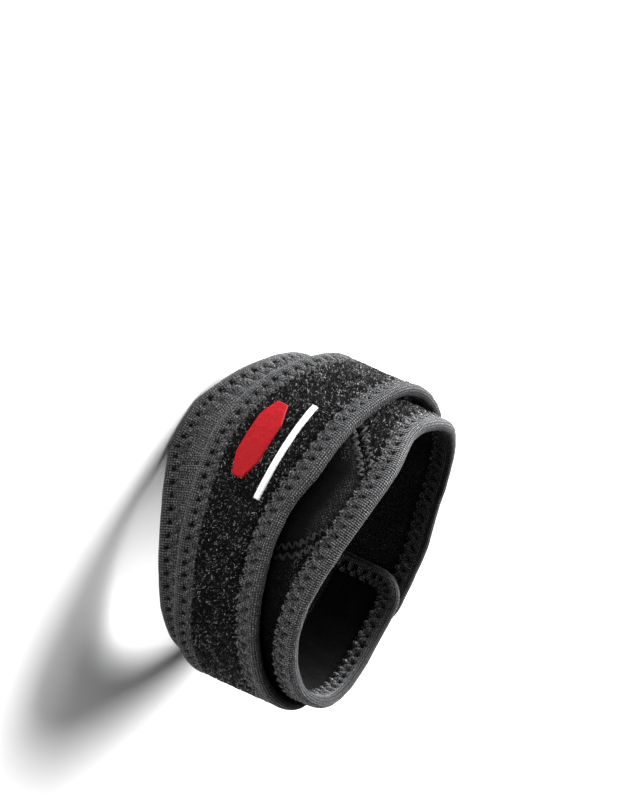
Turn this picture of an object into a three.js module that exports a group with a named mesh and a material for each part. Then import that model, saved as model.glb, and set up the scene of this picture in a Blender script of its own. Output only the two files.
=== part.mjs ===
// Tennis elbow strap: a bound foam band that goes round the forearm below the elbow, and a narrower
// tension strap that is sewn to it at the back and drawn over it all the way round.
// Lengths are in millimetres. A place on the cloth is given by its turn about the arm in degrees, its
// height w along the arm towards the wrist, and t, how far out it lies from the cloth's inner side.
// Turn 0 is at the back (+Y), 90 at +X, 180 at the front (-Y), 270 at -X; past 360 lies the next layer.

import * as THREE from "three";

// The hollow for the arm, at the height w = 0
const hollowHalfWidth = 49.2;
const hollowHalfDepth = 45;
const hollowSquareness = 2.25; // exponent of the section: 2 is an ellipse, more is squarer
const hollowTaper = 2.8; // degrees that the wall leans in towards the wrist

// The forearm is fuller on one side, the more so towards the wrist, and the cloths follow it
const bulgeDepth = 2;
const bulgeTurn = 270;
const bulgeReach = 36; // turns over which it falls to about a third
const bulgeStart = -34; // height w where it starts, and where it is at its depth
const bulgeFull = 32;

// Cloths
const foamThickness = 2;
const knitRise = 0.6; // how far the bare knit face of the pad puffs out between its bindings
const pileThickness = 0.8;
const hookThickness = 0.6;
const tapeThickness = 0.6;
const tapeFace = 8; // how far the binding tape reaches over each side of an edge
const tapeRound = 0.8; // radius of the folded edge of the tape
const cornerInside = 4; // radius of the tape's inner edge at a rounded corner
const sewnGap = 0.3; // between cloths that are sewn together
const layerGap = 0.3; // between one layer and the next

// Base band: its ends lap at the back
const baseWidth = 75; // at the widest, over the pad
const baseStart = 0;
const baseEnd = 385;
const lapRise = { start: 324, end: 352 }; // turns where the outer end climbs over the inner one
const padSeams = { lower: 171, upper: 217 }; // turns of the seams on either side of the bare pad

// Tension strap: sewn down over the lap, free at its other end
const strapWidth = 38;
const strapStart = 345;
const strapEnd = 660;
const lapFall = { after: 2, run: 32 }; // turns past the lap where the strap comes down again
const strapFlare = 1.7; // how far the wrist side edge stands off at the most
const strapEase = 0.9; // how far the whole strap lies off the base at the most
const flareShare = 0.45; // share of the strap's width that stays down
const hookTurns = { start: 582, end: 648 };

// Emblem on the strap
const badgeTurn = 562;
const badgeLength = 28;
const badgeWidth = 9;
const badgeAcross = -4; // from the middle of the strap, towards the wrist
const barLength = 36;
const barWidth = 2.4;
const barAcross = 5.6;
const badgePoint = 0.55; // share of its width that the badge loses towards each end
const emblemThickness = 0.5;

// How far the lowest edges are pressed flat by what the strap stands on
const frontPress = 1.9;
const backPress = 0.4;
const pressTolerance = 0.15; // a point this near to that plane lies on it

// Fineness of the model
const sectionStep = 7; // turn from one section to the next
const cornerSteps = 4;
const emblemSteps = 8;
const crownShare = 0.7; // of the width between the tapes, where a puffed face is at its fullest
const leastFace = 0.1; // of the foam's width, kept between the tapes' edges where an end narrows

// Edges of the base band: elbow side and wrist side, as shares of its width
const baseEdges = [
  { turn: 0, low: -0.421, high: 0.312 },
  { turn: 30, low: -0.426, high: 0.33 },
  { turn: 60, low: -0.38, high: 0.385 },
  { turn: 85, low: -0.3, high: 0.425 },
  { turn: 110, low: -0.266, high: 0.43 },
  { turn: 135, low: -0.285, high: 0.424 },
  { turn: 155, low: -0.335, high: 0.44 },
  { turn: 175, low: -0.412, high: 0.48 },
  { turn: 197, low: -0.485, high: 0.515 },
  { turn: 218, low: -0.423, high: 0.52 },
  { turn: 240, low: -0.36, high: 0.455 },
  { turn: 265, low: -0.35, high: 0.45 },
  { turn: 290, low: -0.38, high: 0.385 },
  { turn: 315, low: -0.416, high: 0.335 },
  { turn: 340, low: -0.421, high: 0.31 },
  { turn: 385, low: -0.421, high: 0.307 },
];

// Edges of the tension strap, as shares of its width
const strapEdges = [
  { turn: 345, low: -0.56, high: 0.388 },
  { turn: 385, low: -0.56, high: 0.388 },
  { turn: 402, low: -0.543, high: 0.406 },
  { turn: 422, low: -0.45, high: 0.5 },
  { turn: 445, low: -0.335, high: 0.6 },
  { turn: 465, low: -0.312, high: 0.61 },
  { turn: 486, low: -0.314, high: 0.575 },
  { turn: 502, low: -0.335, high: 0.52 },
  { turn: 520, low: -0.413, high: 0.465 },
  { turn: 534, low: -0.475, high: 0.43 },
  { turn: 547, low: -0.525, high: 0.44 },
  { turn: 560, low: -0.555, high: 0.497 },
  { turn: 580, low: -0.485, high: 0.52 },
  { turn: 605, low: -0.35, high: 0.55 },
  { turn: 628, low: -0.36, high: 0.54 },
  { turn: 645, low: -0.4, high: 0.52 },
  { turn: 660, low: -0.42, high: 0.505 },
];

// How far the strap's wrist side edge stands off, as a share of the most
const flareRows = [
  { turn: 345, lift: 0 },
  { turn: 410, lift: 0 },
  { turn: 460, lift: 0.3 },
  { turn: 490, lift: 0.55 },
  { turn: 520, lift: 0.55 },
  { turn: 545, lift: 0.3 },
  { turn: 565, lift: 0.25 },
  { turn: 590, lift: 0.55 },
  { turn: 612, lift: 1 },
  { turn: 628, lift: 0.8 },
  { turn: 645, lift: 0.3 },
  { turn: 660, lift: 0 },
];

// How far the whole strap lies off the base, as a share of the most
const easeRows = [
  { turn: 345, lift: 0 },
  { turn: 560, lift: 0 },
  { turn: 588, lift: 0.5 },
  { turn: 610, lift: 1 },
  { turn: 640, lift: 1 },
  { turn: 660, lift: 0.4 },
];

// Depths that follow from the cloths
const foamInner = tapeThickness + sewnGap;
const foamOuter = foamInner + foamThickness;
const boundThickness = foamOuter + sewnGap + tapeThickness;
const pileInner = foamOuter + sewnGap;
const pileOuter = pileInner + pileThickness;
const hookOuter = foamInner - sewnGap;
const hookInner = hookOuter - hookThickness;
const baseTop = Math.max(boundThickness, pileOuter, foamOuter + knitRise);
const lapSeat = baseTop + layerGap;
const strapSeat = lapSeat - Math.min(hookInner, 0);
const cornerRadius = tapeFace + cornerInside;
const foamInset = tapeThickness + sewnGap;
const faceInset = tapeFace + sewnGap;

// The plane that the strap stands on, w = standMiddle + standSlope * y
const lowestFront = Math.min(...baseEdges.map((row) => row.low)) * baseWidth;
const lowestBack = baseEdges[0].low * baseWidth;
const standFront = lowestFront + frontPress;
const standBack = lowestBack + backPress;
const standMiddle = (standFront + standBack) / 2;
const standSlope = (standBack - standFront) / (2 * hollowHalfDepth);
const standAngle = Math.atan(standSlope);

// A smooth curve through one column of a table
function along(rows, column, turn) {
  let i = 0;
  while (i < rows.length - 2 && turn > rows[i + 1].turn) i += 1;
  const slopeAt = (j) => {
    const before = rows[Math.max(j - 1, 0)];
    const after = rows[Math.min(j + 1, rows.length - 1)];
    return (after[column] - before[column]) / (after.turn - before.turn);
  };
  const span = rows[i + 1].turn - rows[i].turn;
  const s = THREE.MathUtils.clamp((turn - rows[i].turn) / span, 0, 1);
  const rise = s * s * (3 - 2 * s);
  const startSwing = s * (1 - s) * (1 - s) * span * slopeAt(i);
  const endSwing = s * s * (s - 1) * span * slopeAt(i + 1);
  return rows[i][column] * (1 - rise) + rows[i + 1][column] * rise + startSwing + endSwing;
}

// A point on the wall round the arm, t out from the skin
function onWall(turn, w, t) {
  const angle = THREE.MathUtils.degToRad(turn);
  const lean = w * Math.tan(THREE.MathUtils.degToRad(hollowTaper));
  const across = Math.abs(Math.sin(angle)) / (hollowHalfWidth - lean + t);
  const deep = Math.abs(Math.cos(angle)) / (hollowHalfDepth - lean + t);
  const even = (across ** hollowSquareness + deep ** hollowSquareness) ** (-1 / hollowSquareness);
  const radius = even + bulge(turn, w);
  return new THREE.Vector3(radius * Math.sin(angle), radius * Math.cos(angle), w);
}

function bulge(turn, w) {
  const off = ((turn % 360) - bulgeTurn) / bulgeReach;
  return bulgeDepth * Math.exp(-off * off) * ((w - bulgeStart) / (bulgeFull - bulgeStart));
}

// The same point when the strap stands on its elbow side edge: z is up from what it stands on
function standing(turn, w, t) {
  const point = onWall(turn, w, t);
  const clear = point.z - (standMiddle + standSlope * point.y);
  if (clear < pressTolerance) point.z -= clear;
  point.z -= standMiddle;
  return point.applyAxisAngle(new THREE.Vector3(1, 0, 0), -standAngle);
}

// The lowest w that the base band can have at a turn, where it is pressed flat
function pressedLow(turn) {
  let w = standMiddle;
  for (let pass = 0; pass < 3; pass += 1) {
    w = standMiddle + standSlope * onWall(turn, w, boundThickness / 2 + lapLift(turn)).y;
  }
  return w;
}

// How far the outer end of the base band lies over the inner one
function lapLift(turn) {
  return lapSeat * THREE.MathUtils.smoothstep(turn, lapRise.start, lapRise.end);
}

// The base band and the strap, each as edges and the lift of its inner side off the skin
const base = {
  start: baseStart,
  end: baseEnd,
  low: (turn) => Math.max(along(baseEdges, "low", turn) * baseWidth, pressedLow(turn)),
  high: (turn) => along(baseEdges, "high", turn) * baseWidth,
  lift: (turn) => lapLift(turn),
  perDegree: perDegree(boundThickness / 2),
};

const strap = {
  start: strapStart,
  end: strapEnd,
  low: (turn) => along(strapEdges, "low", turn) * strapWidth,
  high: (turn) => along(strapEdges, "high", turn) * strapWidth,
  lift: strapLift,
  perDegree: perDegree(strapSeat + boundThickness / 2),
};

// Millimetres along the cloth for each degree of turn, at a height t off the skin
function perDegree(t) {
  return THREE.MathUtils.degToRad((hollowHalfWidth + hollowHalfDepth) / 2 + t);
}

function strapLift(turn, w) {
  const fallStart = baseEnd + lapFall.after;
  const fallen = THREE.MathUtils.smoothstep(turn, fallStart, fallStart + lapFall.run);
  const seat = strapSeat + lapLift(turn) * (1 - fallen) + strapEase * along(easeRows, "lift", turn);
  const share = (w - strap.low(turn)) / (strap.high(turn) - strap.low(turn));
  const loose = Math.max(share - flareShare, 0) / (1 - flareShare);
  return seat + strapFlare * along(flareRows, "lift", turn) * loose * loose;
}

function placeOn(ribbon, turn, w, t) {
  return standing(turn, w, ribbon.lift(turn, w) + t);
}

// The turns between which a ribbon's edges run, before its corners round off
function straightTurns(ribbon) {
  const reach = cornerRadius / ribbon.perDegree;
  return { first: ribbon.start + reach, last: ribbon.end - reach };
}

// The two edges of what lies an even distance inside a ribbon's edges, however these slope
function insetEdges(ribbon, turn, inset) {
  const { first, last } = straightTurns(ribbon);
  const held = THREE.MathUtils.clamp(turn, first, last);
  const slopeOf = (edge) => (edge(held + 1) - edge(held - 1)) / (2 * ribbon.perDegree);
  const low = ribbon.low(held) + inset * Math.hypot(1, slopeOf(ribbon.low));
  const high = ribbon.high(held) - inset * Math.hypot(1, slopeOf(ribbon.high));
  return { low, high };
}

// A closed mesh through rings of points, each joined to the next
function loft(rings, closed) {
  const size = rings[0].length;
  const points = rings.flat();
  const index = [];
  const spans = closed ? rings.length : rings.length - 1;
  for (let i = 0; i < spans; i += 1) {
    const next = (i + 1) % rings.length;
    for (let j = 0; j < size; j += 1) {
      const k = (j + 1) % size;
      index.push(i * size + j, i * size + k, next * size + k);
      index.push(i * size + j, next * size + k, next * size + j);
    }
  }
  if (!closed) {
    const last = (rings.length - 1) * size;
    for (let j = 1; j < size - 1; j += 1) {
      index.push(0, j + 1, j);
      index.push(last, last + j, last + j + 1);
    }
  }
  if (volumeOf(points, index) < 0) index.reverse();
  const geometry = new THREE.BufferGeometry().setFromPoints(points);
  geometry.setIndex(index);
  geometry.computeVertexNormals();
  return geometry;
}

function volumeOf(points, index) {
  let volume = 0;
  for (let i = 0; i < index.length; i += 3) {
    const [a, b, c] = [points[index[i]], points[index[i + 1]], points[index[i + 2]]];
    volume += a.dot(new THREE.Vector3().crossVectors(b, c)) / 6;
  }
  return volume;
}

// Turns of the sections from one end to the other, with how much each rounded end narrows there
function stations(start, end, radius, ribbon) {
  const reach = radius / ribbon.perDegree;
  const rows = [];
  for (let i = 0; i < cornerSteps; i += 1) {
    const angle = ((i / cornerSteps) * Math.PI) / 2;
    rows.push({ turn: start + reach * (1 - Math.cos(angle)), cut: radius * (1 - Math.sin(angle)) });
  }
  const mirrored = rows.map((row) => ({ turn: start + end - row.turn, cut: row.cut })).reverse();
  const count = Math.ceil((end - start - 2 * reach) / sectionStep);
  for (let i = 0; i <= count; i += 1) {
    rows.push({ turn: start + reach + ((end - start - 2 * reach) * i) / count, cut: 0 });
  }
  return rows.concat(mirrored);
}

// A flat sheet on a ribbon, inset from its edges, from one turn to another
function sheet(ribbon, shape) {
  const rings = stations(shape.start, shape.end, shape.radius, ribbon).map(({ turn, cut }) => {
    const edges = insetEdges(ribbon, turn, shape.inset);
    const low = edges.low + cut;
    const high = edges.high - cut;
    return [
      placeOn(ribbon, turn, low, shape.inner),
      placeOn(ribbon, turn, low, shape.outer),
      placeOn(ribbon, turn, (low + high) / 2, shape.outer),
      placeOn(ribbon, turn, high, shape.outer),
      placeOn(ribbon, turn, high, shape.inner),
      placeOn(ribbon, turn, (low + high) / 2, shape.inner),
    ];
  });
  return loft(rings, false);
}

// The foam of a ribbon, inside its binding: its outer face may puff out between the tapes
function foam(ribbon, riseAt) {
  const insetTurn = foamInset / ribbon.perDegree;
  const start = ribbon.start + insetTurn;
  const end = ribbon.end - insetTurn;
  const rings = stations(start, end, cornerRadius - foamInset, ribbon).map(({ turn, cut }) => {
    const edges = insetEdges(ribbon, turn, foamInset);
    const low = edges.low + cut;
    const high = edges.high - cut;
    const middle = (low + high) / 2;
    const faceEdges = insetEdges(ribbon, turn, faceInset);
    const halfFace = Math.max((faceEdges.high - faceEdges.low) / 2 - cut, leastFace * (high - low));
    const crown = crownShare * halfFace;
    const outer = foamOuter + riseAt(turn);
    return [
      placeOn(ribbon, turn, low, foamInner),
      placeOn(ribbon, turn, low, foamOuter),
      placeOn(ribbon, turn, middle - halfFace, foamOuter),
      placeOn(ribbon, turn, middle - crown, outer),
      placeOn(ribbon, turn, middle, outer),
      placeOn(ribbon, turn, middle + crown, outer),
      placeOn(ribbon, turn, middle + halfFace, foamOuter),
      placeOn(ribbon, turn, high, foamOuter),
      placeOn(ribbon, turn, high, foamInner),
      placeOn(ribbon, turn, middle + halfFace, foamInner),
      placeOn(ribbon, turn, middle, foamInner),
      placeOn(ribbon, turn, middle - halfFace, foamInner),
    ];
  });
  return loft(rings, false);
}

// How far the bare knit puffs out: all of it over the pad between its seams, and 0 under the pile
function padRise(turn) {
  const up = THREE.MathUtils.smoothstep(turn, padSeams.lower, padSeams.lower + sectionStep);
  const down = THREE.MathUtils.smoothstep(turn, padSeams.upper - sectionStep, padSeams.upper);
  return knitRise * up * (1 - down);
}

// The outline of a ribbon with rounded corners: along the low edge, and back along the high one
function outline(ribbon) {
  const reach = cornerRadius / ribbon.perDegree;
  const { first, last } = straightTurns(ribbon);
  const count = Math.ceil((last - first) / sectionStep);
  const turns = Array.from({ length: count + 1 }, (unused, i) => first + ((last - first) * i) / count);
  const corner = (turn, w, startAngle) =>
    Array.from({ length: cornerSteps }, (unused, i) => {
      const angle = THREE.MathUtils.degToRad(startAngle + (90 * (i + 0.5)) / cornerSteps);
      return { turn: turn + reach * Math.cos(angle), w: w + cornerRadius * Math.sin(angle) };
    });
  return [
    ...turns.map((turn) => ({ turn, w: ribbon.low(turn) })),
    ...corner(last, ribbon.low(last) + cornerRadius, -90),
    ...corner(last, ribbon.high(last) - cornerRadius, 0),
    ...turns.reverse().map((turn) => ({ turn, w: ribbon.high(turn) })),
    ...corner(first, ribbon.high(first) - cornerRadius, 90),
    ...corner(first, ribbon.low(first) + cornerRadius, 180),
  ];
}

// The binding tape, folded over the whole outline of a ribbon
function binding(ribbon) {
  const flat = tapeRound * (1 - Math.SQRT1_2);
  const profile = [
    [tapeFace, boundThickness],
    [tapeRound, boundThickness],
    [flat, boundThickness - flat],
    [0, boundThickness - tapeRound],
    [0, tapeRound],
    [flat, flat],
    [tapeRound, 0],
    [tapeFace, 0],
    [tapeFace, tapeThickness],
    [tapeThickness, tapeThickness],
    [tapeThickness, boundThickness - tapeThickness],
    [tapeFace, boundThickness - tapeThickness],
  ];
  const path = outline(ribbon);
  const rings = path.map((point, i) => {
    const before = path[(i + path.length - 1) % path.length];
    const after = path[(i + 1) % path.length];
    const tangent = new THREE.Vector2((after.turn - before.turn) * ribbon.perDegree, after.w - before.w);
    tangent.normalize();
    return profile.map(([inward, t]) => {
      const turn = point.turn - (tangent.y * inward) / ribbon.perDegree;
      return placeOn(ribbon, turn, point.w + tangent.x * inward, t);
    });
  });
  return loft(rings, true);
}

// A thin plate on the strap's pile, whose ends may narrow over the outer half of its length
function plate(length, width, across, narrowing) {
  const middle = (strap.low(badgeTurn) + strap.high(badgeTurn)) / 2 + across;
  const inner = pileOuter + sewnGap;
  const rings = Array.from({ length: emblemSteps + 1 }, (unused, i) => {
    const share = (2 * i) / emblemSteps - 1;
    const turn = badgeTurn + (share * length) / 2 / strap.perDegree;
    const half = (width / 2) * (1 - narrowing * Math.max(Math.abs(share) * 2 - 1, 0));
    return [
      placeOn(strap, turn, middle - half, inner),
      placeOn(strap, turn, middle - half, inner + emblemThickness),
      placeOn(strap, turn, middle + half, inner + emblemThickness),
      placeOn(strap, turn, middle + half, inner),
    ];
  });
  return loft(rings, false);
}

const nearBlack = { color: 0x17181a, metalness: 0 };
const finishes = {
  knit: new THREE.MeshStandardMaterial({ ...nearBlack, roughness: 0.85 }),
  pile: new THREE.MeshStandardMaterial({ color: 0x0c0c0d, roughness: 0.95, metalness: 0 }),
  tape: new THREE.MeshStandardMaterial({ color: 0x3a3c3e, roughness: 0.7, metalness: 0 }),
  hook: new THREE.MeshStandardMaterial({ ...nearBlack, roughness: 0.6 }),
  red: new THREE.MeshStandardMaterial({ color: 0xc9141e, roughness: 0.5, metalness: 0 }),
  white: new THREE.MeshStandardMaterial({ color: 0xf0f0f0, roughness: 0.5, metalness: 0 }),
};

const faceEnd = faceInset / base.perDegree;
const pileSheet = { inset: faceInset, radius: cornerInside, inner: pileInner, outer: pileOuter };
const hookSheet = { inset: faceInset, radius: cornerInside, inner: hookInner, outer: hookOuter };
const strapEnds = (inset) => ({
  start: strapStart + inset / strap.perDegree,
  end: strapEnd - inset / strap.perDegree,
});

const pieces = {
  base_panel: [foam(base, padRise), finishes.knit],
  base_binding: [binding(base), finishes.tape],
  base_pile_lower: [
    sheet(base, { ...pileSheet, start: baseStart + faceEnd, end: padSeams.lower }),
    finishes.pile,
  ],
  base_pile_upper: [
    sheet(base, { ...pileSheet, start: padSeams.upper, end: baseEnd - faceEnd }),
    finishes.pile,
  ],
  strap_panel: [foam(strap, () => 0), finishes.knit],
  strap_binding: [binding(strap), finishes.tape],
  strap_pile: [sheet(strap, { ...pileSheet, ...strapEnds(faceInset) }), finishes.pile],
  hook_patch: [sheet(strap, { ...hookSheet, ...hookTurns }), finishes.hook],
  badge: [plate(badgeLength, badgeWidth, badgeAcross, badgePoint), finishes.red],
  badge_bar: [plate(barLength, barWidth, barAcross, 0), finishes.white],
};

const elbowStrap = new THREE.Group();
for (const [name, [geometry, material]] of Object.entries(pieces)) {
  const mesh = new THREE.Mesh(geometry, material);
  mesh.name = name;
  elbowStrap.add(mesh);
}

// The origin is on the floor, under the middle of the whole strap
const middle = new THREE.Box3().setFromObject(elbowStrap).getCenter(new THREE.Vector3());
elbowStrap.position.set(-middle.x, -middle.y, 0);

export default elbowStrap;
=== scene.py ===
import math

import bpy
import numpy as np
from mathutils import Matrix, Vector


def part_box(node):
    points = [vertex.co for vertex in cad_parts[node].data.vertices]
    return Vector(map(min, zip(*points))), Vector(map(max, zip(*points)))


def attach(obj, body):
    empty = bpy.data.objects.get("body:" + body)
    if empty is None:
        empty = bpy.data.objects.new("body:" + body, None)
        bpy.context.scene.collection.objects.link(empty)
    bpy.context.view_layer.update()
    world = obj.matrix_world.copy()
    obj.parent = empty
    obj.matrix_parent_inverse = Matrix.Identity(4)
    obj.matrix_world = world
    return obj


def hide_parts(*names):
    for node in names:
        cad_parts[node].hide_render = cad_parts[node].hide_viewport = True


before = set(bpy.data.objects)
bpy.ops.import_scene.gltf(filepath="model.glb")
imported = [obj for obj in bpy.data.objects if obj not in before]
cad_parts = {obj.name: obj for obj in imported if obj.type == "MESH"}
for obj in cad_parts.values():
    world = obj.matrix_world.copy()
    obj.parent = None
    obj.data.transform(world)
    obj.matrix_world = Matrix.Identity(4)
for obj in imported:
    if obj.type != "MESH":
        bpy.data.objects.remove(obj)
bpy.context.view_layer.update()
print("frame loaded")

# Tennis elbow strap: a bound foam band round the arm with a tension strap drawn over it.
# Lengths are in millimetres until a mesh is made. A place on the cloth is its turn about the arm in
# degrees (0 at the back, 90 at +X, 180 at the front, 270 at -X, past 360 the next layer), its height w
# towards the wrist, and t, how far out it lies from the cloth's inner side.

arm = {"halfWidth": 49.2, "halfDepth": 45.0, "squareness": 2.25, "taper": 2.8}

# The forearm is fuller on one side, the more so towards the wrist, and the cloths follow it
fuller = {"depth": 2.0, "turn": 270, "reach": 36, "start": -34, "full": 32}

cloth = {
    "foamInner": 0.9, "foamOuter": 2.9, "thickness": 3.8, "pileTop": 3.75,
    "tapeFace": 8.0, "corner": 12.0, "seat": 4.3,
}

# Each edge row is a turn, then the elbow side and the wrist side as shares of the width
base = {
    "name": "base", "start": 0, "end": 385, "width": 75, "depth": 1.9,
    "lapRise": (324, 352),
    "edges": [
        (0, -0.421, 0.312), (30, -0.426, 0.33), (60, -0.38, 0.385), (85, -0.3, 0.425),
        (110, -0.266, 0.43), (135, -0.285, 0.424), (155, -0.335, 0.44), (175, -0.412, 0.48),
        (197, -0.485, 0.515), (218, -0.423, 0.52), (240, -0.36, 0.455), (265, -0.35, 0.45),
        (290, -0.38, 0.385), (315, -0.416, 0.335), (340, -0.421, 0.31), (385, -0.421, 0.307),
    ],
}

strap = {
    "name": "strap", "start": 345, "end": 660, "width": 38, "depth": 6.2,
    "lapFall": (387, 419), "flare": 1.7, "flareShare": 0.45, "ease": 0.9,
    "edges": [
        (345, -0.56, 0.388), (385, -0.56, 0.388), (402, -0.543, 0.406), (422, -0.45, 0.5),
        (445, -0.335, 0.6), (465, -0.312, 0.61), (486, -0.314, 0.575), (502, -0.335, 0.52),
        (520, -0.413, 0.465), (534, -0.475, 0.43), (547, -0.525, 0.44), (560, -0.555, 0.497),
        (580, -0.485, 0.52), (605, -0.35, 0.55), (628, -0.36, 0.54), (645, -0.4, 0.52),
        (660, -0.42, 0.505),
    ],
    "flareRows": [
        (345, 0), (410, 0), (460, 0.3), (490, 0.55), (520, 0.55), (545, 0.3), (565, 0.25),
        (590, 0.55), (612, 1), (628, 0.8), (645, 0.3), (660, 0),
    ],
    "easeRows": [(345, 0), (560, 0), (588, 0.5), (610, 1), (640, 1), (660, 0.4)],
}

# How far the lowest edges are pressed flat by what the strap stands on
stand = {"frontPress": 1.9, "backPress": 0.4, "tolerance": 0.15}


def smooth(value, start, end):
    share = np.clip((value - start) / (end - start), 0, 1)
    return share * share * (3 - 2 * share)


def bell(value, width):
    return np.exp(-((value / width) ** 2))


def along(rows, column, place):  # a smooth curve through one column of a table
    table = np.array(rows, float)
    at, values = table[:, 0], table[:, column]
    slopes = np.empty(len(at))
    slopes[1:-1] = (values[2:] - values[:-2]) / (at[2:] - at[:-2])
    slopes[0] = (values[1] - values[0]) / (at[1] - at[0])
    slopes[-1] = (values[-1] - values[-2]) / (at[-1] - at[-2])
    i = np.clip(np.searchsorted(at, place) - 1, 0, len(at) - 2)
    span = at[i + 1] - at[i]
    s = np.clip((place - at[i]) / span, 0, 1)
    rise = s * s * (3 - 2 * s)
    swing = s * (1 - s) * span * ((1 - s) * slopes[i] - s * slopes[i + 1])
    return values[i] * (1 - rise) + values[i + 1] * rise + swing


standFront = min(row[1] for row in base["edges"]) * base["width"] + stand["frontPress"]
standBack = base["edges"][0][1] * base["width"] + stand["backPress"]
standMiddle = (standFront + standBack) / 2
standSlope = (standBack - standFront) / (2 * arm["halfDepth"])
standAngle = math.atan(standSlope)


def onWall(turn, w, t):
    angle = np.radians(turn)
    lean = w * math.tan(math.radians(arm["taper"]))
    across = np.abs(np.sin(angle)) / (arm["halfWidth"] - lean + t)
    deep = np.abs(np.cos(angle)) / (arm["halfDepth"] - lean + t)
    power = arm["squareness"]
    radius = (across**power + deep**power) ** (-1 / power)
    off = (np.mod(turn, 360) - fuller["turn"]) / fuller["reach"]
    share = (w - fuller["start"]) / (fuller["full"] - fuller["start"])
    radius = radius + fuller["depth"] * np.exp(-off * off) * share
    return np.stack([radius * np.sin(angle), radius * np.cos(angle), w], -1)


def toFloor(points, pressed=True):  # stands the strap on its elbow side edge, and presses that edge flat
    x, y, z = np.moveaxis(points, -1, 0)
    clear = z - (standMiddle + standSlope * y)
    z = z - standMiddle - (np.where(clear < stand["tolerance"], clear, 0) if pressed else 0)
    c, s = math.cos(standAngle), math.sin(standAngle)
    return np.stack([x, y * c + z * s, z * c - y * s], -1)


def perDegree(ribbon):  # millimetres along the cloth for each degree of turn
    return math.radians((arm["halfWidth"] + arm["halfDepth"]) / 2 + ribbon["depth"])


def lapLift(turn):  # the base's outer end lies over its inner one
    return cloth["seat"] * smooth(turn, *base["lapRise"])


def lift(ribbon, turn, w):
    if ribbon is base:
        return lapLift(turn) + 0 * w
    low, high = edgesAt(strap, turn)
    loose = np.maximum((w - low) / (high - low) - strap["flareShare"], 0) / (1 - strap["flareShare"])
    flare = strap["flare"] * along(strap["flareRows"], 1, turn) * loose**2
    ease = strap["ease"] * along(strap["easeRows"], 1, turn)
    return cloth["seat"] + lapLift(turn) * (1 - smooth(turn, *strap["lapFall"])) + ease + flare


def edgesAt(ribbon, turn):
    low = along(ribbon["edges"], 1, turn) * ribbon["width"]
    high = along(ribbon["edges"], 2, turn) * ribbon["width"]
    if ribbon is base:
        pressed = standMiddle
        middle = cloth["thickness"] / 2
        for _ in range(3):
            depth = onWall(turn, pressed + 0 * turn, middle + lapLift(turn))[..., 1]
            pressed = standMiddle + standSlope * depth
        low = np.maximum(low, pressed)
    return low, high


def outlineOf(ribbon):  # the edge all round, with rounded corners, as millimetres along and w
    scale, radius, edgePoints, cornerPoints = perDegree(ribbon), cloth["corner"], 900, 26
    first, last = ribbon["start"] + radius / scale, ribbon["end"] - radius / scale
    turns = np.linspace(first, last, edgePoints)
    low, high = edgesAt(ribbon, turns)

    def corner(turn, w, startAngle):
        angle = np.radians(startAngle + np.linspace(0, 90, cornerPoints)[1:-1])
        return np.column_stack([turn * scale + radius * np.cos(angle), w + radius * np.sin(angle)])

    points = np.vstack([
        np.column_stack([turns * scale, low]),
        corner(last, low[-1] + radius, -90),
        corner(last, high[-1] - radius, 0),
        np.column_stack([turns * scale, high])[::-1],
        corner(first, high[0] - radius, 90),
        corner(first, low[0] + radius, 180),
    ])
    steps = np.linalg.norm(np.roll(points, -1, 0) - points, axis=1)
    reached = np.concatenate([[0], np.cumsum(steps)])
    return {"length": reached[-1], "reached": reached, "points": np.vstack([points, points[:1]])}


def onOutline(ribbon, outline, s, v):  # a turn and w that lie v inside the edge, s along it
    length = outline["length"]

    def at(place, column):
        return np.interp(place % length, outline["reached"], outline["points"][:, column])

    reach = 1.5
    tangentX = at(s + reach, 0) - at(s - reach, 0)
    tangentW = at(s + reach, 1) - at(s - reach, 1)
    size = np.hypot(tangentX, tangentW)
    x = at(s, 0) - tangentW / size * v
    return x / perDegree(ribbon), at(s, 1) + tangentX / size * v


def wallPoints(ribbon, turn, w, t):
    turn, w, t = np.broadcast_arrays(np.asarray(turn, float), w, t)
    return toFloor(onWall(turn, w, lift(ribbon, turn, w) + t))


# The frame's origin is under the middle of the whole strap, so the base's edge says how far to shift
baseOutline, strapOutline = outlineOf(base), outlineOf(strap)
edgeStep, edgeInset = 0.5, 0.8
edgePlaces = np.arange(0, baseOutline["length"], edgeStep)[:, None]
edgeTurn, edgeW = onOutline(base, baseOutline, edgePlaces, edgeInset)
edgeCloud = wallPoints(base, edgeTurn, edgeW, np.array([0, cloth["thickness"]])).reshape(-1, 3)
nodeLow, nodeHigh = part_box("base_binding")
nodeMiddle = (np.array(nodeLow) + np.array(nodeHigh)) * 1000 / 2
shift = nodeMiddle - (edgeCloud.min(0) + edgeCloud.max(0)) / 2
shift[2] = 0
print("shift from the arm's axis", shift.round(3))


def place(ribbon, turn, w, t):  # metres in the frame
    return (wallPoints(ribbon, turn, w, t) + shift) / 1000


# Sizes and phases of the waves that make cloth uneven; for each kind, how many waves are added and what
# their sum is divided by
waves = {"sizes": (0.6, 1.7), "phases": (0, 6.28), "line": (6, 3), "surface": (9, 3.6)}


def drift(values, size, seed):  # a soft wander from -1 to 1 along one line
    dice = np.random.default_rng(seed)
    count, divisor = waves["line"]
    total = 0
    for _ in range(count):
        pitch, phase = size * dice.uniform(*waves["sizes"]), dice.uniform(*waves["phases"])
        total = total + np.sin(values * 2 * math.pi / pitch + phase)
    return total / divisor


def softNoise(x, y, size, seed):  # a soft unevenness over a surface, about -1 to 1
    dice = np.random.default_rng(seed)
    count, divisor = waves["surface"]
    total = 0
    for _ in range(count):
        angle, phase = dice.uniform(*waves["phases"]), dice.uniform(*waves["phases"])
        pitch = size * dice.uniform(*waves["sizes"])
        total = total + np.sin((x * math.cos(angle) + y * math.sin(angle)) * 2 * math.pi / pitch + phase)
    return total / divisor


# Meshes from arrays of points and faces

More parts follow.
